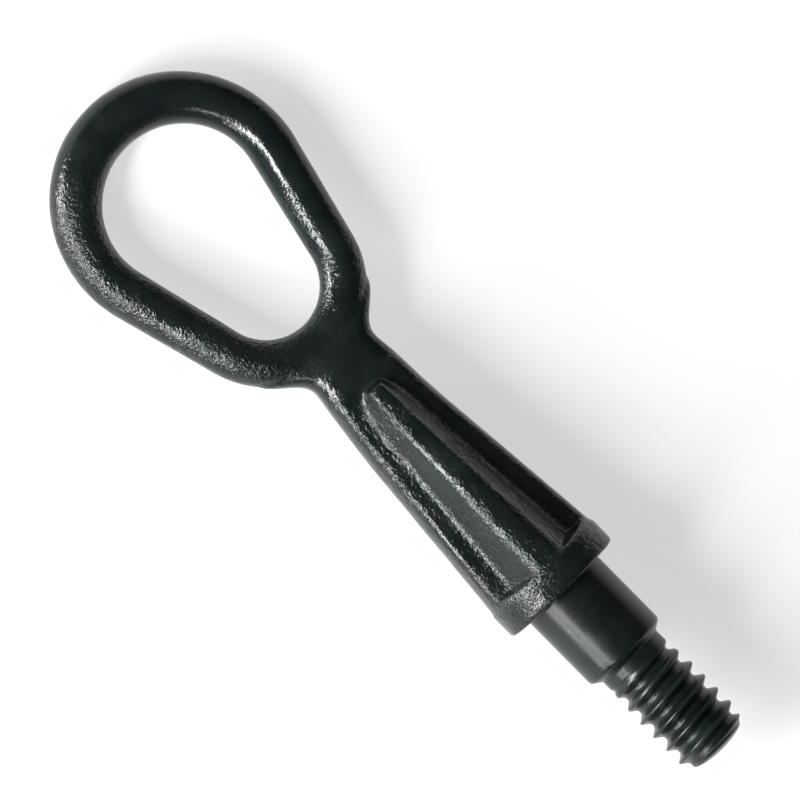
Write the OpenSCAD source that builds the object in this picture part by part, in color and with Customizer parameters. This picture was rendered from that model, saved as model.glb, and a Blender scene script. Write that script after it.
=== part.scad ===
// Screw-in tow eye, one forging: a teardrop eye of round bar, a flattened neck,
// a tapered stem with four recesses that leave a rib front and back, a collar,
// a turned shank and a coarse rolled thread. Millimetres.
// Built along X with the thread at +X and the eye flat in XY, x = 0 at the
// shoulder face, then tipped to lie as it rests, on the collar and the eye's far end.

/* [Eye] */
// Radius of the bar's centreline round the far end
eye_far_r = 26.7; // [25.5:0.1:28]
// Distance from the shoulder to the centre of the far arc
eye_far_x = 135.1; // [130:0.5:145]
// Radius of the bar's centreline round the end next to the neck
eye_near_r = 19.6; // [18.8:0.1:20.4]
// Distance from the shoulder to the centre of the near arc
eye_near_x = 106; // [105:0.25:107]
// Bar thickness at the far end
bar_far_d = 13.9; // [12:0.1:15]
// Bar thickness at the sides
bar_side_d = 12.5; // [11.8:0.1:13]
// Bar thickness next to the neck
bar_near_d = 11.8; // [11.2:0.1:12.2]
// Lean of the eye in its own plane, degrees
eye_lean = 0.6; // [0:0.05:1.5]

/* [Neck] */
// Width of the neck at its narrowest
neck_w = 21; // [19:0.1:22.5]
// Thickness of the neck
neck_t = 13.3; // [12.6:0.1:14.5]
// Distance from the shoulder to the narrowest place
neck_x = 78; // [77:0.25:80]
// How far the fillets to the eye spread on each side
neck_flare = 9.1; // [8.6:0.1:9.2]
// Length of those fillets
flare_l = 12; // [11:0.25:12.5]
// Sideways set of the neck from the stem's axis
neck_set = 0.75; // [0:0.05:1]

/* [Stem] */
// Distance from the shoulder to the stem's narrow end
stem_x = 67.5; // [66:0.5:69]
// Radius at the narrow end
stem_r = 11.6; // [11:0.05:12]
// Thickness left between the front and back recesses
web_t = 13; // [12:0.1:14]
// Width of the rib's crest at the narrow end
crest_w_near = 3.8; // [3:0.1:4.5]
// Width of the rib's crest at the collar
crest_w_far = 8.6; // [7.5:0.1:9.5]
// Width of the rib's foot at the narrow end
foot_w_near = 11.2; // [10:0.1:12]
// Width of the rib's foot at the collar
foot_w_far = 20.2; // [19:0.1:21]
// Length of the sloping end wall of each recess
end_wall_l = 1.9; // [1.6:0.1:2.4]

/* [Collar and shank] */
// Collar diameter
collar_d = 34.8; // [34.6:0.1:36]
// Collar length
collar_l = 7.4; // [7:0.1:7.8]
// Edge break round the collar
collar_edge = 0.4; // [0.3:0.1:0.5]
// Height of the collar's rim over the stem
collar_rim = 0.8; // [0.7:0.05:1.2]
// Shank diameter
shank_d = 23.8; // [22:0.1:25]
// Length from the shoulder to the shank's corner with its chamfer
shank_l = 22.1; // [21:0.1:24]
// Fillet where the shank meets the shoulder
shank_fillet = 0.7; // [0.3:0.1:1]

/* [Thread] */
// Thread diameter over the crests
thread_d = 20.16; // [19.6:0.02:20.6]
// Diameter at the bottom of the grooves
thread_root_d = 16.1; // [15.4:0.1:16.6]
// Diameter of the plain neck before the thread
blank_d = 18.6; // [18.2:0.1:19]
// Distance from one crest to the next
pitch = 4.6; // [4.2:0.1:5]
// Distance from the shoulder to the first crest at the +Y side
first_crest_x = 31.1; // [30.6:0.1:31.6]
// Distance from the shoulder to the tip
tip_x = 56.75; // [56:0.25:60]
// Height of the domed tip with its rounded rim
dome_l = 1.75; // [1.5:0.05:2]

/* [Hidden] */
$fn = 96;

ring_n = 24;
arc_far_steps = 32;
arc_near_steps = 14;
turn_n = 32;
coat = [0.13, 0.14, 0.14];

eye_near_bar = bar_near_d / 2;
far_bar = bar_far_d / 2;
side_bar = bar_side_d / 2;
collar_r = collar_d / 2;
shank_r = shank_d / 2;
blank_r = blank_d / 2;
half_web = web_t / 2;
stem_l = stem_x - collar_l;
stem_end_r = collar_r - collar_rim;
taper = (stem_end_r - stem_r) / stem_l;

// The straight limbs are common tangents to the two arcs of the eye.
limb_a = asin((eye_far_r - eye_near_r) / (eye_far_x - eye_near_x));

// Rest: the collar's upper edge and the far end of the eye touch the ground.
far_reach = eye_far_x + eye_far_r;
span = far_reach - collar_l + collar_edge;
rest_tilt = acos(far_bar / norm([collar_r, span])) - atan2(span, collar_r);
rest_lift = far_reach * sin(rest_tilt) + far_bar;
rest_shift = (far_reach * cos(rest_tilt) + far_bar - tip_x * cos(rest_tilt)) / 2;

function mix(a, b, t) = a + (b - a) * t;
function unit(v) = v / norm(v);
function clamp01(t) = min(1, max(0, t));
function soft(t) = clamp01(t) * clamp01(t) * (3 - 2 * clamp01(t));
function bend(a, b, c, n) =
    [for (i = [0:n]) let (t = i / n) (1 - t) * (1 - t) * a + 2 * t * (1 - t) * b + t * t * c];

// Faces of a loft whose stations are closed loops with n points each.
function wrap_faces(stations, n) = [
    for (k = [0:stations - 2], i = [0:n - 1])
        let (a = k * n + i, b = k * n + (i + 1) % n)
            for (f = [[a, b, a + n], [b, b + n, a + n]]) f
];

// Eye: centreline stations as [x, y, direction across the bar, bar radius].
function far_station(a) =
    let (c = cos(a), w = abs(a) < 90 ? pow(cos(a), 2) : 0)
        [-eye_far_x - eye_far_r * c, eye_far_r * sin(a), [-c, sin(a)], mix(side_bar, far_bar, w)];
function near_station(a) =
    [-eye_near_x + eye_near_r * cos(a), eye_near_r * sin(a), [cos(a), sin(a)], eye_near_bar];

far_half = 90 + limb_a;
near_half = 90 - limb_a;
eye_path = concat(
    [for (i = [0:arc_far_steps]) far_station(mix(-far_half, far_half, i / arc_far_steps))],
    [for (t = [1 / 3, 2 / 3])
        let (p = far_station(far_half), q = near_station(near_half)) mix(p, q, t)],
    [for (i = [0:arc_near_steps]) near_station(mix(near_half, -near_half, i / arc_near_steps))],
    [for (t = [1 / 3, 2 / 3])
        let (p = near_station(-near_half), q = far_station(-far_half)) mix(p, q, t)]
);
function lean(p) =
    let (x = p[0] + neck_x, y = p[1])
        [x * cos(eye_lean) - y * sin(eye_lean) - neck_x,
         x * sin(eye_lean) + y * cos(eye_lean) + neck_set, p[2]];

module eye() {
    m = len(eye_path);
    points = [
        for (s = eye_path, j = [0:ring_n - 1])
            let (a = 360 * (j + 0.5) / ring_n, q = s[3] * cos(a))
                lean([s[0] + q * s[2][0], s[1] + q * s[2][1], s[3] * sin(a)])
    ];
    faces = [
        for (k = [0:m - 1], j = [0:ring_n - 1])
            let (k2 = (k + 1) % m, j2 = (j + 1) % ring_n,
                 a = k * ring_n + j, b = k * ring_n + j2,
                 c = k2 * ring_n + j, d = k2 * ring_n + j2)
                for (f = [[a, c, b], [b, c, d]]) f
    ];
    polyhedron(points, faces, convexity = 6);
}

// Quarter section of the neck, from the front's middle round to the side.
neck_q = [0, 0.04, 0.08, 0.11, 0.14, 0.17, 0.2, 0.24, 0.29, 0.34, 0.39, 0.45,
          0.56, 0.67, 0.77, 0.86, 0.93, 0.97, 0.993, 1];
function neck_quarter(x) =
    let (d = max(0, (-neck_x - x) / flare_l),
         w = neck_w / 2 + neck_flare * pow(soft(d), 1.15)
             + (stem_r - neck_w / 2) * soft((x + neck_x) / (neck_x - stem_x)),
         h = neck_t / 2 * (1 - 0.36 * d * d),
         e = 3 - 0.8 * d)
        [for (q = neck_q) [w * q, h * pow(max(0, 1 - pow(q, e)), 1 / e)]];

// Quarter section of the stem. rise lifts the recess floor, grow raises the rib.
function stem_quarter(x, grow, rise, tip) =
    let (r = min(stem_r + taper * (x + stem_x), stem_end_r),
         u = clamp01((x + stem_x) / stem_l),
         c = mix(crest_w_near, crest_w_far, u) / 2 * tip,
         f0 = mix(foot_w_near, foot_w_far, u) / 2 * tip,
         top = mix(half_web, r, grow),
         b = [c, top - (r - sqrt(r * r - c * c)) * grow],
         z = mix(half_web, b[1], rise),
         foot = [mix(f0, c, rise), z],
         side = [sqrt(r * r - z * z), z],
         wall = norm(b - foot),
         e1 = min(mix(0.9, 2.1, u), 0.45 * wall, 0.8 * c),
         e2 = min(1.9, 0.45 * wall),
         e3 = min(1.8, 0.45 * (side[0] - foot[0])),
         dir = unit(foot - b),
         a0 = asin(z / r) - e3 / r * 180 / PI)
        concat(
            [[0, top], [(c - e1) / 2, top - (r - sqrt(r * r - pow((c - e1) / 2, 2))) * grow]],
            bend([c - e1, top - (r - sqrt(r * r - pow(c - e1, 2))) * grow], b, b + e1 * dir, 4),
            bend(foot - e2 * dir, foot, foot + [e2, 0], 4),
            bend(side - [e3, 0], side, [r * cos(a0), r * sin(a0)], 4),
            [for (t = [0.66, 0.33, 0]) [r * cos(a0 * t), r * sin(a0 * t)]]
        );
function round_quarter(r) = [for (i = [0:19]) r * [sin(90 * i / 19), cos(90 * i / 19)]];

function whole(x, q, set) = concat(
    [for (i = [0:19]) [x, q[i][0] + set, q[i][1]]],
    [for (i = [18:-1:0]) [x, q[i][0] + set, -q[i][1]]],
    [for (i = [1:19]) [x, -q[i][0] + set, -q[i][1]]],
    [for (i = [18:-1:1]) [x, -q[i][0] + set, q[i][1]]]
);

module stem() {
    foot_x = -collar_l - end_wall_l - 0.2;
    shift = function (x) neck_set * (1 - soft((x + neck_x) / 24));
    stations = concat(
        [for (d = [1, 0.84, 0.7, 0.57, 0.46, 0.36, 0.26, 0.12])
            whole(-neck_x - d * flare_l, neck_quarter(-neck_x - d * flare_l), shift(-neck_x))],
        [for (x = [-neck_x + 1.5, -neck_x + 6]) whole(x, neck_quarter(x), shift(x))],
        [for (s = [[-3.9, 0.14, 0.5], [-3, 0.45, 0.62], [-2.1, 0.85, 0.72], [-1.2, 1, 0.8],
                   [1, 1, 0.88], [4, 1, 0.95], [8.5, 1, 1], [25, 1, 1]])
            let (x = -stem_x + s[0]) whole(x, stem_quarter(x, s[1], 0, s[2]), shift(x))],
        [whole(foot_x - 0.4, stem_quarter(foot_x - 0.4, 1, 0, 1), 0)],
        [for (s = [[0.1, 0.05], [0.35, 0.3], [0.65, 0.62], [0.9, 0.88]])
            let (x = foot_x + s[0] * end_wall_l) whole(x, stem_quarter(x, 1, s[1], 1), 0)],
        [for (x = [-collar_l - 0.2, -collar_l / 2]) whole(x, round_quarter(stem_end_r), 0)]
    );
    n = len(stations[0]);
    m = len(stations);
    faces = concat(
        [[for (i = [n - 1:-1:0]) i]],
        wrap_faces(m, n),
        [[for (i = [0:n - 1]) (m - 1) * n + i]]
    );
    polyhedron([for (s = stations, p = s) p], faces, convexity = 8);
}

// Collar, shoulder, shank and its chamfer, turned as one profile.
module collar_and_shank() {
    e = collar_edge;
    lip = bend([shank_r, shank_l - 0.9], [shank_r, shank_l],
        [shank_r, shank_l] + 0.9 * unit([blank_r - shank_r, 1.7]), 4);
    heel = bend([shank_r + shank_fillet, 0], [shank_r, 0], [shank_r, shank_fillet], 4);
    profile = concat(
        [[0, -collar_l / 2 - 1], [collar_r - 4, -collar_l], [collar_r - e, -collar_l]],
        [[collar_r, -collar_l + e], [collar_r, -e], [collar_r - e, 0]],
        heel,
        lip,
        [[blank_r - 0.3, shank_l + 1.95], [0, shank_l + 1.95]]
    );
    rotate([0, 90, 0])
        rotate([0, 0, 90])
            rotate_extrude()
                polygon(profile);
}

// Thread: height of the surface above (+1) or below (-1) the plain blank, by
// distance from the crest in pitches.
function form(t) = lookup(t, [[0, 1], [0.05, 1], [0.16, 0], [0.28, -0.63], [0.4, -1], [0.5, -1]]);
function thread_radius(x, turn) =
    let (s = (x - first_crest_x) / pitch - turn,
         h = form(abs(s - round(s))),
         start = first_crest_x - pitch,
         up = clamp01((x - start) / (2.1 * pitch)),
         down = soft((x - start) / (0.45 * pitch)),
         rim = thread_d / 2 - max(0, x - (tip_x - dome_l - 2.1)) * 1.05,
         raw = blank_r + up * (thread_d / 2 - blank_r) * max(0, h)
               + down * (blank_r - thread_root_d / 2) * min(0, h))
        min(raw, max(rim, thread_root_d / 2 - 0.08));

module thread() {
    x0 = first_crest_x - 1.15 * pitch;
    x1 = tip_x - dome_l;
    offs = [-0.05, 0.05, 0.16, 0.28, 0.41, 0.59, 0.72, 0.84];
    n = len(offs);
    turns = ceil((x1 - x0) / pitch) + 2;
    steps = turns * turn_n;
    base = first_crest_x - (2 + 1) * pitch;
    at = function (k, i)
        let (x = base + pitch * (k / turn_n + (i < n ? offs[i] : 1 + offs[0])))
            x < x0 + 0.12 ? x0 : (x > x1 - 0.12 ? x1 : x);
    strip = [
        for (k = [0:steps], i = [0:n])
            let (x = at(k, i), a = 360 * k / turn_n, r = thread_radius(x, k / turn_n))
                [x, r * cos(a), r * sin(a)]
    ];
    strip_faces = [
        for (k = [0:steps - 1], i = [0:n - 1])
            let (p = k * (n + 1) + i, q = p + 1, r = p + n + 1, s = r + 1,
                 xa = at(k, i), xb = at(k, i + 1), xc = at(k + 1, i), xd = at(k + 1, i + 1))
                for (f = [
                    if (xa != xb) [p, q, r],
                    if (xc != xd) [q, s, r]
                ]) f
    ];
    s0 = len(strip);
    head = [shank_l + 0.6, blank_r];
    tails = [[x1, thread_root_d / 2 - 0.08], [x1 + 0.5, 7.15], [x1 + 1.05, 5.9], [x1 + 1.5, 3.75]];
    rings = [
        for (c = concat([head], tails), k = [0:turn_n - 1])
            let (a = 360 * k / turn_n) [c[0], c[1] * cos(a), c[1] * sin(a)]
    ];
    head_ring = [for (k = [0:turn_n - 1]) k * (n + 1)];
    tail_ring = [for (k = [0:turn_n - 1]) (steps - turn_n + k) * (n + 1) + n];
    apex = s0 + len(rings);
    near = function (k) s0 + k % turn_n;
    far = function (g, k) s0 + turn_n * (1 + g) + k % turn_n;
    faces = concat(
        strip_faces,
        [[for (k = [0:turn_n - 1]) near(k)]],
        [for (k = [0:turn_n - 1])
            for (f = [[near(k), head_ring[k], near(k + 1)],
                      [near(k + 1), head_ring[k], head_ring[(k + 1) % turn_n]]]) f],
        [for (k = [0:turn_n - 1])
            for (f = [[tail_ring[k], far(1, k), tail_ring[(k + 1) % turn_n]],
                      [tail_ring[(k + 1) % turn_n], far(1, k), far(1, k + 1)]]) f],
        [for (g = [1:2], k = [0:turn_n - 1])
            for (f = [[far(g, k), far(g + 1, k), far(g, k + 1)],
                      [far(g, k + 1), far(g + 1, k), far(g + 1, k + 1)]]) f],
        [for (k = [0:turn_n - 1]) [far(3, k), apex, far(3, k + 1)]]
    );
    polyhedron(concat(strip, rings, [[tip_x, 0, 0]]), faces, convexity = 10);
}

module tow_eye() {
    color(coat)
        translate([rest_shift, 0, rest_lift])
            rotate([0, -rest_tilt, 0])
                union() {
                    eye();
                    stem();
                    collar_and_shank();
                    thread();
                }
}

tow_eye();
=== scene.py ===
import math

import bpy
import numpy as np
from bpy.props import FloatProperty, FloatVectorProperty, PointerProperty
from mathutils import Matrix, Vector, noise


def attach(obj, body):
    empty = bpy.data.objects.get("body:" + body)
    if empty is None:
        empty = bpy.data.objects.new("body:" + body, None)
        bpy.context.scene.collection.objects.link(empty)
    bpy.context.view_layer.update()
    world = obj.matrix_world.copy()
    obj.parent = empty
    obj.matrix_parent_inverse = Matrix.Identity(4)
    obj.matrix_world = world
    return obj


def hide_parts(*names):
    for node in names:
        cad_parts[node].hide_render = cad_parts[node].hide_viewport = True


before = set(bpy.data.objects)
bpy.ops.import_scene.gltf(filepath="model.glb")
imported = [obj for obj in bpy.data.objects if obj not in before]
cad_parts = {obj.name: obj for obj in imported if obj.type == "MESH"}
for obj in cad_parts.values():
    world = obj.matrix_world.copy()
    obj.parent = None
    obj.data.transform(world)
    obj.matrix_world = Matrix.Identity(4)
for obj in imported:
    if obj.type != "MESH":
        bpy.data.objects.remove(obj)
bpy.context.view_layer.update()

bl_info = {
    "name": "Tow Eye",
    "version": (1, 0, 0),
    "blender": (4, 5, 0),
    "location": "View3D > Sidebar > Tow Eye",
    "description": "Forged screw-in tow eye with a black dip coat, lying on a pale table",
    "category": "Add Mesh",
}

NODE = "tow_eye"
MM = 0.001

# Points round the loop's bar, the collar, the shank with its thread, and the table.
BAR_SIDES, COLLAR_SIDES, TURNED_SIDES, TABLE_SIDES = 72, 160, 144, 96


def linear(code):
    """An sRGB hex colour as linear red, green and blue."""
    parts = [int(code[i:i + 2], 16) / 255 for i in (1, 3, 5)]
    return tuple(p / 12.92 if p <= 0.04045 else ((p + 0.055) / 1.055) ** 2.4 for p in parts)


def length(name, mm, low, high, about):
    """A length given in millimetres, with its range."""
    return FloatProperty(name=name, description=about, default=mm * MM, min=low * MM,
                         max=high * MM, unit="LENGTH", precision=5)


def colour(name, code, about):
    """A colour given as an sRGB hex code."""
    return FloatVectorProperty(name=name, description=about, default=linear(code), size=3,
                               subtype="COLOR", min=0, max=1)


class TowEyeSizes(bpy.types.PropertyGroup):
    """Sizes of the eye: the solid's, except the collar's rim, which is 0.8 mm there"""
    far_r: length("Far arc", 26.7, 20, 40, "Radius of the bar's centreline round the far end")
    far_x: length("Far arc from shoulder", 135.1, 120, 150, "Distance to the far arc's centre")
    near_r: length("Near arc", 19.6, 15, 25, "Radius of the bar's centreline next to the neck")
    near_x: length("Near arc from shoulder", 106, 100, 112, "Distance to the near arc's centre")
    far_bar: length("Bar at far end", 13.9, 10, 16, "Thickness of the bar at the far end")
    side_bar: length("Bar at sides", 12.5, 10, 16, "Thickness of the bar along the limbs")
    near_bar: length("Bar at neck", 11.8, 10, 16, "Thickness of the bar next to the neck")
    lean: FloatProperty(name="Lean", description="Lean of the loop in its own plane",
                        default=math.radians(0.6), min=0, max=0.05, subtype="ANGLE")
    neck_w: length("Neck width", 21, 18, 24, "Width of the neck at its narrowest")
    neck_t: length("Neck thickness", 13.3, 11, 15, "Thickness of the neck")
    neck_x: length("Neck from shoulder", 78, 75, 82, "Distance to the narrowest place")
    flare: length("Neck flare", 9.1, 6, 10, "How far the fillets to the loop spread")
    flare_l: length("Flare length", 12, 8, 14, "Length of the fillets to the loop")
    neck_set: length("Neck set", 0.75, 0, 2, "Sideways set of the neck from the axis")
    stem_x: length("Stem end", 67.5, 60, 72, "Distance from the shoulder to the stem's narrow end")
    stem_r: length("Stem radius", 11.6, 10, 13, "Radius at the stem's narrow end")
    web_t: length("Web", 13, 10, 15, "Thickness left between the front and back recesses")
    crest_a: length("Crest, narrow end", 3.8, 2, 6, "Width of the rib's crest at the neck")
    crest_b: length("Crest, wide end", 8.6, 6, 11, "Width of the rib's crest at the collar")
    foot_a: length("Rib foot, narrow end", 11.2, 9, 13, "Width of the rib's foot at the neck")
    foot_b: length("Rib foot, wide end", 20.2, 17, 23, "Width of the rib's foot at the collar")
    end_wall: length("Recess end wall", 1.9, 1, 4, "Length of the slope that ends each recess")
    collar_d: length("Collar diameter", 34.8, 30, 40, "Diameter of the collar")
    collar_l: length("Collar length", 7.4, 5, 10, "Length of the collar")
    collar_edge: length("Collar edge", 0.4, 0.2, 1, "Edge break round the collar")
    collar_rim: length("Collar rim", 0.5, 0.3, 1.5, "Height of the collar's rim over the stem")
    shank_d: length("Shank diameter", 23.8, 20, 26, "Diameter of the turned shank")
    shank_l: length("Shank length", 22.1, 18, 26, "Distance from the shoulder to the chamfer")
    shank_fillet: length("Shank fillet", 0.7, 0.2, 1.5, "Fillet between the shank and the shoulder")
    thread_d: length("Thread diameter", 20.16, 18, 22, "Diameter over the thread's crests")
    root_d: length("Thread root", 16.1, 14, 18, "Diameter at the bottom of the grooves")
    blank_d: length("Thread neck", 18.6, 17, 20, "Diameter of the plain neck before the thread")
    pitch: length("Pitch", 4.6, 3, 6, "Distance from one crest to the next")
    crest_x: length("First crest", 31.1, 28, 34, "Distance from the shoulder to the first crest")
    tip_x: length("Tip", 56.75, 50, 65, "Distance from the shoulder to the tip")
    dome: length("Dome", 1.75, 1, 3, "Height of the domed tip")
    grid: length("Skin grid", 0.485, 0.4, 1, "Grid on which the forged skin is drawn")
    uneven: length("Unevenness", 0.16, 0, 0.4, "How uneven the forged skin is")
    fill: length("Fill", 0.12, 0, 0.3, "Gives back what rounding takes off the forged skin")


class TowEyeFinish(bpy.types.PropertyGroup):
    """Colours and relief of the coat and the table"""
    coat: colour("Coat", "#0d1314", "Black dip coat")
    coat_thin: colour("Thin coat", "#161c1c", "The coat where it is thinner and greyer")
    table: colour("Table", "#a8aaa8", "Pale table and backdrop")
    pebble: length("Pebble height", 0.5, 0, 0.8, "Relief of the forged skin under the coat")
    grit: length("Grit height", 0.2, 0, 0.4, "Relief of the fine scale under the coat")


def sizes():
    """The sizes in millimetres, except the lean, which is in radians."""
    group = bpy.context.scene.tow_eye_sizes
    names = group.__annotations__
    return {n: getattr(group, n) / (1 if n == "lean" else MM) for n in names}


def at_rest(z):
    """Resting place: the collar's rim and the loop's far end touch the table."""
    far = z["far_bar"] / 2
    reach = z["far_x"] + z["far_r"]
    span = reach - z["collar_l"] + z["collar_edge"]
    collar = z["collar_d"] / 2
    tilt = math.acos(far / math.hypot(collar, span)) - math.atan2(span, collar)
    lift = reach * math.sin(tilt) + far
    shift = (reach * math.cos(tilt) + far - z["tip_x"] * math.cos(tilt)) / 2
    return Matrix.Translation((shift * MM, 0, lift * MM)) @ Matrix.Rotation(-tilt, 4, "Y")


def soft(t):
    """A smooth step from 0 to 1."""
    t = np.clip(t, 0, 1)
    return t * t * (3 - 2 * t)


def skin_faces(rows, n, closed):
    """Quads over rows of n points round a section."""
    k, i = np.meshgrid(np.arange(rows if closed else rows - 1), np.arange(n), indexing="ij")
    k2, i2 = (k + 1) % rows, (i + 1) % n
    quads = np.stack([k * n + i, k2 * n + i, k2 * n + i2, k * n + i2], -1)
    return quads.reshape(-1, 4).tolist()


def make_object(name, points, faces):
    """A mesh object from points in millimetres."""
    mesh = bpy.data.meshes.new(name)
    mesh.from_pydata([tuple(p) for p in np.asarray(points) * MM], [], faces)
    mesh.validate()
    obj = bpy.data.objects.new(name, mesh)
    bpy.context.scene.collection.objects.link(obj)
    return obj


def shade_smooth(mesh):
    mesh.polygons.foreach_set("use_smooth", [True] * len(mesh.polygons))
    mesh.update()


def loop_bar(z):
    """The loop: a closed teardrop of round bar that thickens towards its far end."""
    slope = math.asin((z["far_r"] - z["near_r"]) / (z["far_x"] - z["near_x"]))
    far = np.linspace(-math.pi / 2 - slope, math.pi / 2 + slope, 150)
    near = np.linspace(math.pi / 2 - slope, -math.pi / 2 + slope, 90)
    side, end, root = z["side_bar"] / 2, z["far_bar"] / 2, z["near_bar"] / 2
    swell = np.where(np.abs(far) < math.pi / 2, np.cos(far) ** 2, 0)
    rows = [(-z["far_x"] - z["far_r"] * np.cos(far), z["far_r"] * np.sin(far),
             -np.cos(far), np.sin(far), side + (end - side) * swell),
            (-z["near_x"] + z["near_r"] * np.cos(near), z["near_r"] * np.sin(near),
             np.cos(near), np.sin(near), np.full(90, root))]
    far_arc, near_arc = (np.stack(r, 1) for r in rows)

    def limb(a, b):
        return [a + (b - a) * t for t in np.linspace(0, 1, 42)[1:-1]]

    path = np.array([*far_arc, *limb(far_arc[-1], near_arc[0]), *near_arc,
                     *limb(near_arc[-1], far_arc[0])])
    a = 2 * math.pi * (np.arange(BAR_SIDES) + 0.5) / BAR_SIDES
    x, y, nx, ny, r = (path[:, i, None] for i in range(5))
    points = np.stack([x + nx * r * np.cos(a), y + ny * r * np.cos(a), r * np.sin(a) + 0 * x], -1)
    px, py = points[..., 0] + z["neck_x"], points[..., 1].copy()
    c, s = math.cos(z["lean"]), math.sin(z["lean"])
    points[..., 0] = px * c - py * s - z["neck_x"]
    points[..., 1] = px * s + py * c + z["neck_set"]
    return points.reshape(-1, 3), [f[::-1] for f in skin_faces(len(path), BAR_SIDES, True)]


# The stem is a loft of quarter sections. Each quarter runs from the front's
# middle over the crest's edge, the rib's foot and the recess's outer edge to the side.

BEND = 8
NECK_SHARE = [0, 0.04, 0.08, 0.11, 0.14, 0.17, 0.2, 0.24, 0.29, 0.34, 0.39, 0.45,
              0.56, 0.67, 0.77, 0.86, 0.93, 0.97, 0.993, 1]
STEPS = np.concatenate([[0, 1], np.linspace(2, 6, BEND + 1), np.linspace(7, 11, BEND + 1),
                        np.linspace(12, 16, BEND + 1), np.linspace(16, 19, BEND + 1)[1:]])

# Roundings in millimetres: the crest's edge, which grows towards the collar, the rib's
# foot and the recess's outer edge. None takes more than ROUND_SHARE of its wall or floor,
# and the crest's no more than CREST_ROUND_SHARE of half the crest's width.
CREST_ROUND, CREST_ROUND_MORE, FOOT_ROUND, SIDE_ROUND = 0.9, 1.2, 1.9, 1.8
ROUND_SHARE = 0.45
CREST_ROUND_SHARE = 0.8

# The rib's narrow end: its height and width, as shares of the full ones, at these
# distances from the stem's narrow end.
RIB_AT = [-3.9, -2.5, -2.1, -1.5, -1, 1.5, 4, 8.5]
RIB_HEIGHT = [0.03, 0.06, 0.45, 0.93, 1, 1, 1, 1]
RIB_WIDTH = [0.34, 0.4, 0.45, 0.55, 0.66, 0.86, 0.96, 1]
CREST_SHARE = 0.75  # the crest is never wider than this share of the foot

NECK_SET_FADE = 24  # over this length the neck's sideways set fades out
STEM_OVERLAP = 0.2  # how far before the collar the stem is round


def bend(a, b, c):
    """A curve from a to c that leaves and arrives in the direction of b."""
    t = np.linspace(0, 1, BEND + 1)[:, None]
    return (1 - t) ** 2 * np.array(a) + 2 * t * (1 - t) * np.array(b) + t ** 2 * np.array(c)


def neck_quarter(z, x):
    """A quarter of the neck's flat oval at x."""
    d = max(0, (-z["neck_x"] - x) / z["flare_l"])
    wide = (z["neck_w"] / 2 + z["flare"] * soft(d) ** 1.15
            + (z["stem_r"] - z["neck_w"] / 2)
            * soft((x + z["neck_x"]) / (z["neck_x"] - z["stem_x"])))
    high = z["neck_t"] / 2 * (1 - 0.36 * d * d)
    e = 3 - 0.8 * d
    q = np.interp(STEPS, np.arange(20), NECK_SHARE)
    return np.stack([wide * q, high * np.maximum(0, 1 - q ** e) ** (1 / e)], 1)


def stem_quarter(z, x, grow, rise, tip):
    """A quarter of the stem at x: grow raises the rib, rise fills the recess, tip
    narrows the rib."""
    length_ = z["stem_x"] - z["collar_l"]
    end_r = z["collar_d"] / 2 - z["collar_rim"]
    r = min(z["stem_r"] + (end_r - z["stem_r"]) / length_ * (x + z["stem_x"]), end_r)
    u = min(1, max(0, (x + z["stem_x"]) / length_))
    web = z["web_t"] / 2
    f0 = (z["foot_a"] + (z["foot_b"] - z["foot_a"]) * u) / 2 * tip
    c = min((z["crest_a"] + (z["crest_b"] - z["crest_a"]) * u) / 2, CREST_SHARE * f0)
    top = web + (r - web) * grow

    def crest(y):
        return [y, top - (r - math.sqrt(r * r - y * y)) * grow]

    b = np.array(crest(c))
    h = web + (b[1] - web) * rise
    foot = np.array([f0 + (c - f0) * rise, h])
    side = np.array([math.sqrt(r * r - h * h), h])
    wall = np.linalg.norm(b - foot)
    e1 = min(CREST_ROUND + CREST_ROUND_MORE * u, ROUND_SHARE * wall, CREST_ROUND_SHARE * c)
    e2 = min(FOOT_ROUND, ROUND_SHARE * wall)
    e3 = min(SIDE_ROUND, ROUND_SHARE * (side[0] - foot[0]))
    down = (foot - b) / wall
    a0 = math.asin(h / r) - e3 / r
    round_side = [[r * math.cos(a0 * t), r * math.sin(a0 * t)]
                  for t in np.linspace(1, 0, BEND + 1)[1:]]
    return np.concatenate([
        [[0, top], crest((c - e1) / 2)],
        bend(crest(c - e1), b, b + e1 * down),
        bend(foot - e2 * down, foot, foot + [e2, 0]),
        bend(side - [e3, 0], side, [r * math.cos(a0), r * math.sin(a0)]),
        round_side])


def whole_section(x, q, shift):
    """Four mirrored quarters as one closed section."""
    y, h = q[:, 0], q[:, 1]
    ring = [np.stack([y, h], 1), np.stack([y, -h], 1)[-2::-1],
            np.stack([-y, -h], 1)[1:], np.stack([-y, h], 1)[-2:0:-1]]
    ring = np.concatenate(ring)
    return np.stack([np.full(len(ring), x), ring[:, 0] + shift, ring[:, 1]], 1)


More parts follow.
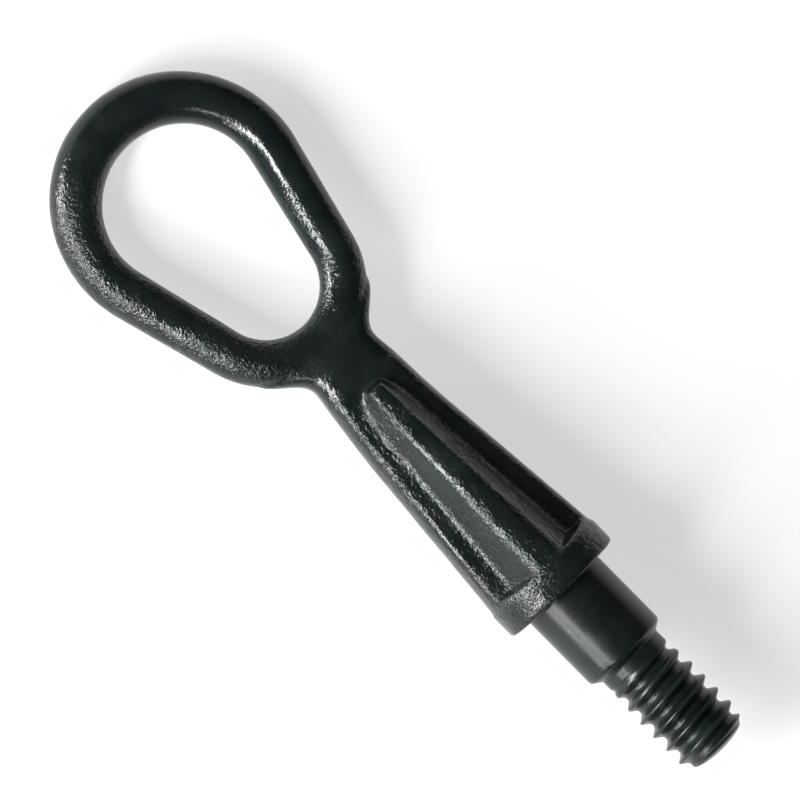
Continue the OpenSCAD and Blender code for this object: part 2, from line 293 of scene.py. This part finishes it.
def stem_loft(z):
    """The neck, and the tapered stem with a recess on each side of its ribs."""
    neck, wide = -z["neck_x"], -z["stem_x"]
    foot_x = -z["collar_l"] - z["end_wall"] - STEM_OVERLAP

    def shift(x):
        return z["neck_set"] * (1 - float(soft((x - neck) / NECK_SET_FADE)))

    rows = []
    for d in np.linspace(1, 0.05, 26):
        rows.append(whole_section(neck - d * z["flare_l"], neck_quarter(z, neck - d * z["flare_l"]),
                                  shift(neck)))
    for x in np.arange(neck, wide - 4.4, 0.75):
        rows.append(whole_section(x, neck_quarter(z, x), shift(x)))
    for x in np.concatenate([np.arange(RIB_AT[0], 9, 0.45),
                             np.arange(9.5, foot_x - wide - 0.4, 1.2)]):
        grow = np.interp(x, RIB_AT, RIB_HEIGHT)
        tip = np.interp(x, RIB_AT, RIB_WIDTH)
        rows.append(whole_section(wide + x, stem_quarter(z, wide + x, grow, 0, tip),
                                  shift(wide + x)))
    for t in np.linspace(0, 1, 9)[:-1]:
        rows.append(whole_section(foot_x + t * z["end_wall"],
                                  stem_quarter(z, foot_x + t * z["end_wall"], 1, soft(t), 1), 0))
    a = math.pi / 2 * STEPS / 19
    r = z["collar_d"] / 2 - z["collar_rim"]
    for x in (-z["collar_l"] - STEM_OVERLAP, -z["collar_l"] / 2):
        rows.append(whole_section(x, np.stack([r * np.sin(a), r * np.cos(a)], 1), 0))
    n = len(rows[0])
    faces = skin_faces(len(rows), n, False)
    faces += [list(range(n)), list(range(len(rows) * n - 1, (len(rows) - 1) * n - 1, -1))]
    return np.concatenate(rows), faces


def round_faces(rows, n, first, last):
    """Faces of a turned skin and of the fans that close it at its two points."""
    end = (rows - 1) * n
    faces = [f[::-1] for f in skin_faces(rows, n, False)]
    faces += [[(i + 1) % n, i, first] for i in range(n)]
    return faces + [[end + i, end + (i + 1) % n, last] for i in range(n)]


def turned(profile, n):
    """A closed turned solid about X from (x, radius) pairs that start and end on the axis."""
    a = 2 * math.pi * np.arange(n) / n
    inner = np.array(profile[1:-1])
    points = [[x, r * math.cos(t), r * math.sin(t)] for x, r in inner for t in a]
    first, last = len(points), len(points) + 1
    points += [[profile[0][0], 0, 0], [profile[-1][0], 0, 0]]
    return points, round_faces(len(inner), n, first, last)


def collar_disc(z):
    """The collar with its edges broken. Its hollow back lies inside the stem."""
    r, l, e = z["collar_d"] / 2, z["collar_l"], z["collar_edge"]
    return turned([[-l / 2 - 1, 0], [-l, r - 4], [-l, r - e], [-l + e, r], [-e, r], [0, r - e],
                   [0, 0]], COLLAR_SIDES)


def thread_form():
    """Height of the thread over one pitch, from -1 in the groove to +1 on the crest."""
    t = np.linspace(-0.5, 0.5, 401)[:-1]
    h = np.interp(np.abs(t), [0, 0.05, 0.16, 0.28, 0.4, 0.5], [1, 1, 0, -0.63, -1, -1])
    kernel = np.hanning(27)
    wide = np.concatenate([h[-20:], h, h[:20]])
    return np.convolve(wide, kernel / kernel.sum(), "same")[20:-20]


# The turned end, in millimetres: the chamfer's length, the rounding at its start and at
# its foot, the distance between sections of the thread, how far before the dome the
# crests taper, and how far the dome's rim lies under the groove's bottom.
CHAMFER, CHAMFER_START, CHAMFER_FOOT = 1.7, 0.9, 0.3
THREAD_STEP, CREST_TAPER, DOME_INSET = 0.11, 2.1, 0.08


def turned_end(z):
    """The shank with its chamfer, then the coarse thread and the domed tip, as one grid."""
    n = TURNED_SIDES
    form = thread_form()
    shank, blank, root, crest = (z[k] / 2 for k in ("shank_d", "blank_d", "root_d", "thread_d"))
    pitch, x1 = z["pitch"], z["tip_x"] - z["dome"]
    fillet = z["shank_fillet"]
    core = root - DOME_INSET
    lip = np.array([blank - shank, CHAMFER]) / math.hypot(blank - shank, CHAMFER)
    heel = bend([0, shank + fillet], [0, shank], [fillet, shank])
    nose = bend([z["shank_l"] - CHAMFER_START, shank], [z["shank_l"], shank],
                [z["shank_l"] + CHAMFER_START * lip[1], shank + CHAMFER_START * lip[0]])
    toe_x = z["shank_l"] + CHAMFER
    toe = bend([toe_x - CHAMFER_FOOT, blank + CHAMFER_FOOT * (shank - blank) / CHAMFER],
               [toe_x, blank], [toe_x + 0.5, blank])
    plain = [[-1, shank + fillet], *heel, *[[x, shank] for x in np.arange(1.5, 20.5, 1.5)],
             *nose, *toe]
    rows = [np.stack([np.full(n, x), np.full(n, r)], 1) for x, r in plain]
    turn = np.arange(n) / n
    start = z["crest_x"] - pitch
    for x in np.arange(toe_x + 0.6, x1, THREAD_STEP):
        s = (x - z["crest_x"]) / pitch - turn
        h = np.interp((s + 0.5) % 1, np.arange(401) / 400, np.append(form, form[0]))
        up = min(1, max(0, (x - start) / (2.1 * pitch)))
        down = float(soft((x - start) / (0.45 * pitch)))
        rim = crest - max(0, x - (x1 - CREST_TAPER)) * 1.05
        r = blank + up * (crest - blank) * np.maximum(0, h)
        r = r + down * (blank - root) * np.minimum(0, h)
        rows.append(np.stack([np.full(n, x), np.minimum(r, max(rim, core))], 1))
    for t in np.sin(np.linspace(0, math.pi / 2, 16))[1:-1]:
        rows.append(np.stack([np.full(n, x1 + t * z["dome"]),
                              np.full(n, core * (1 - t ** 1.8) ** 0.58)], 1))
    a = 2 * math.pi * turn
    points = np.concatenate([np.stack([q[:, 0], q[:, 1] * np.cos(a), q[:, 1] * np.sin(a)], 1)
                             for q in rows])
    faces = round_faces(len(rows), n, len(points), len(points) + 1)
    return np.concatenate([points, [[-1, 0, 0], [z["tip_x"], 0, 0]]]), faces


# Spans in millimetres and shares of the forged skin's broad dents and shorter waves.
DENT_SPAN, DENT_SHARE = 7, 0.62
WAVE_SPAN, WAVE_SHARE = 2.6, 0.38
FEWEST_POINTS = 1000  # fewer mean that the fusing failed


def unevenness(co):
    """How far a forged skin falls back at a point, from 0 to 1."""
    p = Vector(co) / MM
    dents = 0.5 + 0.5 * noise.noise(p / DENT_SPAN)
    waves = 0.5 + 0.5 * noise.noise(p / WAVE_SPAN + Vector((9, 4, 1)))
    return DENT_SHARE * dents + WAVE_SHARE * waves


def forged_skin(z):
    """The loop, stem and collar fused on a fine grid, rounded and slightly uneven."""
    points, faces = [], []
    for part in (loop_bar(z), stem_loft(z), collar_disc(z)):
        faces += [[i + len(points) for i in f] for f in part[1]]
        points += [tuple(p) for p in part[0]]
    rough = make_object("forged_body", points, faces)
    fuse = rough.modifiers.new("fuse", "REMESH")
    fuse.mode = "VOXEL"
    fuse.voxel_size = z["grid"] * MM
    relax = rough.modifiers.new("relax", "SMOOTH")
    relax.factor = 0.5
    relax.iterations = 7
    shape = rough.evaluated_get(bpy.context.evaluated_depsgraph_get())
    mesh = bpy.data.meshes.new_from_object(shape)
    rough.modifiers.clear()
    rough.data = mesh
    n = len(mesh.vertices)
    if n < FEWEST_POINTS:
        raise RuntimeError("the forged skin couldn't be fused")
    co, normal = np.empty(n * 3), np.empty(n * 3)
    mesh.vertices.foreach_get("co", co)
    mesh.vertices.foreach_get("normal", normal)
    co, normal = co.reshape(-1, 3), normal.reshape(-1, 3)
    back = (np.array([unevenness(p) for p in co])[:, None] * z["uneven"] - z["fill"]) * MM
    mesh.vertices.foreach_set("co", (co - normal * back).ravel())
    shade_smooth(mesh)
    return rough


# Materials

COAT_IOR = 1.43  # a paint film is near 1.5, and this is matched to the object
TABLE_GLOW = 0.6

# The forged skin gets rougher in the direction ROUGHER, between these two values of the
# dot product of that direction and a place in metres. The neck is smooth round PINCH, and
# that fades out between these two distances.
ROUGHER = (0.6, -1, 0)
ROUGHER_FROM, ROUGHER_TO = -0.1, -0.07
PINCH = (-0.079, 0, 0)
PINCH_FROM, PINCH_TO = 0.008, 0.016


def add(tree, kind, inputs=None, **settings):
    """Adds a node, sets its properties, and fills its inputs with values or links."""
    n = tree.nodes.new(kind)
    for k, v in settings.items():
        setattr(n, k, v)
    for k, v in (inputs or {}).items():
        if isinstance(v, bpy.types.NodeSocket):
            tree.links.new(v, n.inputs[k])
        else:
            n.inputs[k].default_value = v
    return n


def per(mm):
    """Texture scale for features of that size in millimetres."""
    return 1 / (mm * MM)


def new_material(name):
    """An empty material, and the place on the eye measured along and across its own axis."""
    m = bpy.data.materials.new(name)
    m.use_nodes = True
    m.node_tree.nodes.clear()
    place = add(m.node_tree, "ShaderNodeTexCoord").outputs["Object"]
    level = at_rest(sizes()).inverted()
    place = add(m.node_tree, "ShaderNodeMapping", {
        "Vector": place, "Location": level.translation, "Rotation": level.to_euler()})
    return m, m.node_tree, place.outputs[0]


def coat_colour(tree, place, finish):
    """The coat pools and thins over spans of about 8 mm."""
    pools = add(tree, "ShaderNodeTexNoise", {"Vector": place, "Scale": per(8), "Detail": 3.0})
    share = add(tree, "ShaderNodeMapRange", {"Value": pools.outputs["Fac"], "From Min": 0.35,
                                             "From Max": 0.68})
    mixed = add(tree, "ShaderNodeMix", {"Factor": share.outputs["Result"]}, data_type="RGBA")
    mixed.inputs[6].default_value = (*finish.coat, 1)
    mixed.inputs[7].default_value = (*finish.coat_thin, 1)
    return mixed.outputs[2], share.outputs["Result"]


def forged_coat(finish):
    """Black dip coat on a shot-blasted forging: satin gloss over a pebbled skin, so a
    highlight breaks up into sparks. The loop's far right side is smoother."""
    m, tree, place = new_material("black_dip_coat_on_forged_steel")
    tint, pool = coat_colour(tree, place, finish)
    where = add(tree, "ShaderNodeVectorMath", {0: place, 1: ROUGHER}, operation="DOT_PRODUCT")
    along = add(tree, "ShaderNodeMapRange", {
        "Value": where.outputs["Value"], "From Min": ROUGHER_FROM, "From Max": ROUGHER_TO,
        "To Min": 0.25, "To Max": 1.0}, interpolation_type="SMOOTHSTEP")
    patches = add(tree, "ShaderNodeTexNoise", {"Vector": place, "Scale": per(11), "Detail": 1.0})
    patch = add(tree, "ShaderNodeMapRange", {"Value": patches.outputs["Fac"], "From Min": 0.35,
                                             "From Max": 0.62, "To Min": 0.45, "To Max": 1.0})
    relief = add(tree, "ShaderNodeMath", {0: along.outputs["Result"], 1: patch.outputs["Result"]},
                 operation="MULTIPLY")
    # The dies pinch the neck, so it is smooth too.
    neck = add(tree, "ShaderNodeVectorMath", {0: place, 1: PINCH}, operation="DISTANCE")
    pinch = add(tree, "ShaderNodeMapRange", {
        "Value": neck.outputs["Value"], "From Min": PINCH_FROM, "From Max": PINCH_TO,
        "To Min": 0.35, "To Max": 1.0}, interpolation_type="SMOOTHSTEP")
    relief = add(tree, "ShaderNodeMath", {0: relief.outputs[0], 1: pinch.outputs["Result"]},
                 operation="MULTIPLY")
    # Blast pits of about 1.3 mm.
    pits = add(tree, "ShaderNodeTexNoise", {"Vector": place, "Scale": per(1.3), "Detail": 2.5,
                                            "Roughness": 0.55})
    height = add(tree, "ShaderNodeMath", {0: pits.outputs["Fac"], 1: relief.outputs[0]},
                 operation="MULTIPLY")
    pebbled = add(tree, "ShaderNodeBump", {"Height": height.outputs[0], "Strength": 1.0,
                                           "Distance": finish.pebble})
    # Scale under the coat, 0.6 mm, drawn about twice as coarse as it is, to show.
    grit = add(tree, "ShaderNodeTexNoise", {"Vector": place, "Scale": per(0.6), "Detail": 2.0})
    grains = add(tree, "ShaderNodeMath", {0: grit.outputs["Fac"], 1: relief.outputs[0]},
                 operation="MULTIPLY")
    fine = add(tree, "ShaderNodeBump", {"Height": grains.outputs[0], "Strength": 1.0,
                                        "Distance": finish.grit, "Normal": pebbled.outputs[0]})
    worn = add(tree, "ShaderNodeMath", {0: relief.outputs[0], 1: pool}, operation="MULTIPLY")
    rough = add(tree, "ShaderNodeMapRange", {"Value": worn.outputs[0], "To Min": 0.16,
                                             "To Max": 0.24})
    shader = add(tree, "ShaderNodeBsdfPrincipled", {
        "Base Color": tint, "Roughness": rough.outputs["Result"], "Normal": fine.outputs[0],
        "IOR": COAT_IOR})
    add(tree, "ShaderNodeOutputMaterial", {"Surface": shader.outputs[0]})
    return m


def turned_coat(finish):
    """The same dip coat on turned and rolled steel: smooth, with faint turning lines
    every 0.35 mm and a slight orange peel, so highlights stay whole."""
    m, tree, place = new_material("black_dip_coat_on_turned_steel")
    tint, pool = coat_colour(tree, place, finish)
    lines = add(tree, "ShaderNodeTexWave", {"Vector": place, "Scale": per(0.35) / (2 * math.pi),
                                            "Distortion": 1.2, "Detail": 1.0,
                                            "Detail Scale": per(6) / per(0.35)},
                bands_direction="X")
    cut = add(tree, "ShaderNodeBump", {"Height": lines.outputs["Fac"], "Strength": 1.0,
                                       "Distance": 0.0012 * MM})
    peel = add(tree, "ShaderNodeTexNoise", {"Vector": place, "Scale": per(1.6), "Detail": 2.0})
    skin = add(tree, "ShaderNodeBump", {"Height": peel.outputs["Fac"], "Strength": 1.0,
                                        "Distance": 0.022 * MM, "Normal": cut.outputs[0]})
    rough = add(tree, "ShaderNodeMapRange", {"Value": pool, "To Min": 0.25, "To Max": 0.33})
    shader = add(tree, "ShaderNodeBsdfPrincipled", {
        "Base Color": tint, "Roughness": rough.outputs["Result"], "Normal": skin.outputs[0],
        "IOR": COAT_IOR})
    add(tree, "ShaderNodeOutputMaterial", {"Surface": shader.outputs[0]})
    return m


def table_paint(finish):
    """Matt pale paint. Part of its brightness is its own for what the camera sees, directly
    or in a reflection, so the table stays pale and still takes the shadow."""
    m, tree, place = new_material("matt_table_paint")
    grain = add(tree, "ShaderNodeTexNoise", {"Vector": place, "Scale": per(40), "Detail": 2.0})
    rough = add(tree, "ShaderNodeMapRange", {"Value": grain.outputs["Fac"], "To Min": 0.85,
                                             "To Max": 0.95})
    paint = add(tree, "ShaderNodeBsdfPrincipled", {
        "Base Color": (*finish.table, 1), "Roughness": rough.outputs["Result"]})
    paint.inputs["Specular IOR Level"].default_value = 0.0
    light = add(tree, "ShaderNodeLightPath")
    seen = add(tree, "ShaderNodeMath", {0: light.outputs["Is Camera Ray"],
                                        1: light.outputs["Is Glossy Ray"]}, operation="MAXIMUM")
    seen = add(tree, "ShaderNodeMath", {0: seen.outputs[0],
                                        1: light.outputs["Is Transmission Ray"]},
               operation="MAXIMUM")
    own = add(tree, "ShaderNodeMath", {0: seen.outputs[0], 1: TABLE_GLOW}, operation="MULTIPLY")
    glow = add(tree, "ShaderNodeEmission", {"Color": (1, 1, 1, 1), "Strength": own.outputs[0]})
    both = add(tree, "ShaderNodeAddShader", {0: paint.outputs[0], 1: glow.outputs[0]})
    add(tree, "ShaderNodeOutputMaterial", {"Surface": both.outputs[0]})
    return m


# Stage: the camera looks down on the eye, a little from the side of the loop.

ROLL, TIP = math.radians(8), math.radians(1.5)
TURN = math.radians(45.3)
DISTANCE = 2.2
FRAME_WIDTH = 0.2
SENSOR = 36
MIDDLE = (-62.0, 4.26)
ROOM_LIGHT = 0.11
FLOOR_R, COVE_R, COVE_TOP = 3.4, 0.5, 0.7

# Name, both ends, width, radiance and the place along the eye that it faces. Places are in
# metres along, across and above the eye as the camera sees it.
LAMPS = (
    ("strip_by_thread", (0.08, -0.68, 0.2545), (-0.05, -0.5565, 0.411), 0.06, 27, -0.05),
    ("far_strip", (0.42, -0.40, 0.5), (0.0, -0.50, 0.46), 0.07, 14, -0.15),
    ("strip_by_loop", (-0.05, -0.5565, 0.411), (-0.27, -0.348, 0.676), 0.115, 52, -0.1),
    ("low_strip", (-0.62, -0.84, 0.36), (-0.95, -0.42, 0.3), 0.2, 42, -0.14),
)


def view_axes(rest):
    """Directions in the scene: along the part in the picture, across it, and to the camera."""
    turn = rest.to_3x3()
    to_camera = turn @ Vector((-math.sin(TIP), -math.sin(ROLL) * math.cos(TIP),
                               math.cos(ROLL) * math.cos(TIP)))
    along = turn @ Vector((1, 0, 0))
    along = (along - along.dot(to_camera) * to_camera).normalized()
    across = to_camera.cross(along)
    return along, across, to_camera


def strip_light(name, ends, width, radiance, look_at):
    """A strip softbox between two points, facing look_at."""
    a, b = ends
    middle = (a + b) / 2
    long_side = (b - a).normalized()
    back = middle - look_at
    back = (back - back.dot(long_side) * long_side).normalized()
    data = bpy.data.lights.new(name, "AREA")
    data.shape = "RECTANGLE"
    data.size, data.size_y = (b - a).length, width
    data.energy = radiance * math.pi * data.size * data.size_y
    obj = bpy.data.objects.new(name, data)
    obj.matrix_world = Matrix.Translation(middle) @ Matrix(
        (long_side, back.cross(long_side), back)).transposed().to_4x4()
    bpy.context.scene.collection.objects.link(obj)


class TOWEYE_OT_forged_body(bpy.types.Operator):
    """Build the loop, stem and collar as one forged skin"""
    bl_idname = "tow_eye.forged_body"
    bl_label = "Forged Body"

    def execute(self, context):
        z = sizes()
        obj = forged_skin(z)
        obj.data.transform(at_rest(z))
        obj.data.materials.append(forged_coat(context.scene.tow_eye_finish))
        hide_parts(NODE)
        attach(obj, "root")
        return {"FINISHED"}


class TOWEYE_OT_turned_end(bpy.types.Operator):
    """Build the turned shank and the coarse thread"""
    bl_idname = "tow_eye.turned_end"
    bl_label = "Turned Shank and Thread"

    def execute(self, context):
        z = sizes()
        points, faces = turned_end(z)
        obj = make_object("shank_and_thread", points, faces)
        shade_smooth(obj.data)
        obj.data.transform(at_rest(z))
        obj.data.materials.append(turned_coat(context.scene.tow_eye_finish))
        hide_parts(NODE)
        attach(obj, "root")
        return {"FINISHED"}


class TOWEYE_OT_stage(bpy.types.Operator):
    """Build the pale table, the lamps and the camera"""
    bl_idname = "tow_eye.stage"
    bl_label = "Table, Lamps and Camera"

    def execute(self, context):
        scene = context.scene
        rest = at_rest(sizes())
        along, across, up = view_axes(rest)
        middle = rest.translation + (along * MIDDLE[0] + across * MIDDLE[1]) * MM

        def studio(s, t, v):
            return rest.translation + along * s + across * t + up * v

        cove = [[FLOOR_R, 0], *[[FLOOR_R + COVE_R * math.sin(a), COVE_R - COVE_R * math.cos(a)]
                                for a in np.linspace(0.1, math.pi / 2, 10)],
                [FLOOR_R + COVE_R, COVE_TOP]]
        n = TABLE_SIDES
        a = 2 * math.pi * np.arange(n) / n
        points = [[r / MM * math.cos(t), r / MM * math.sin(t), h / MM] for r, h in cove for t in a]
        faces = skin_faces(len(cove), n, False) + [list(range(n))]
        table = make_object("table", points, faces)
        shade_smooth(table.data)
        table.data.materials.append(table_paint(scene.tow_eye_finish))

        for name, a, b, width, radiance, faced in LAMPS:
            strip_light(name, (studio(*a), studio(*b)), width, radiance, studio(faced, 0, 0))

        world = bpy.data.worlds.new("dim_room")
        world.use_nodes = True
        back = world.node_tree.nodes["Background"]
        back.inputs["Color"].default_value = (*linear("#f2f6f4"), 1)
        back.inputs["Strength"].default_value = ROOM_LIGHT
        scene.world = world
        scene.view_settings.view_transform = "Standard"

        lens = bpy.data.cameras.new("camera")
        lens.sensor_width = SENSOR
        lens.lens = SENSOR * DISTANCE / FRAME_WIDTH
        lens.clip_end = 50
        camera = bpy.data.objects.new("camera", lens)
        right = math.cos(TURN) * along + math.sin(TURN) * across
        camera.matrix_world = Matrix.Translation(middle + up * DISTANCE) @ Matrix(
            (right, up.cross(right), up)).transposed().to_4x4()
        scene.collection.objects.link(camera)
        scene.camera = camera
        return {"FINISHED"}


class TOWEYE_PT_panel(bpy.types.Panel):
    """Sizes, finish and building steps of the tow eye"""
    bl_idname = "TOWEYE_PT_panel"
    bl_label = "Tow Eye"
    bl_space_type = "VIEW_3D"
    bl_region_type = "UI"
    bl_category = "Tow Eye"

    def draw(self, context):
        for operator in OPERATORS:
            self.layout.operator(operator.bl_idname)
        for group in (context.scene.tow_eye_sizes, context.scene.tow_eye_finish):
            box = self.layout.box()
            for name in group.__annotations__:
                box.prop(group, name)


OPERATORS = (TOWEYE_OT_forged_body, TOWEYE_OT_turned_end, TOWEYE_OT_stage)
CLASSES = (TowEyeSizes, TowEyeFinish, *OPERATORS, TOWEYE_PT_panel)


def register():
    for c in CLASSES:
        bpy.utils.register_class(c)
    bpy.types.Scene.tow_eye_sizes = PointerProperty(type=TowEyeSizes)
    bpy.types.Scene.tow_eye_finish = PointerProperty(type=TowEyeFinish)


def unregister():
    del bpy.types.Scene.tow_eye_finish
    del bpy.types.Scene.tow_eye_sizes
    for c in reversed(CLASSES):
        bpy.utils.unregister_class(c)


def main():
    register()
    bpy.ops.tow_eye.forged_body()
    bpy.ops.tow_eye.turned_end()
    bpy.ops.tow_eye.stage()


if __name__ == "__main__":
    main()
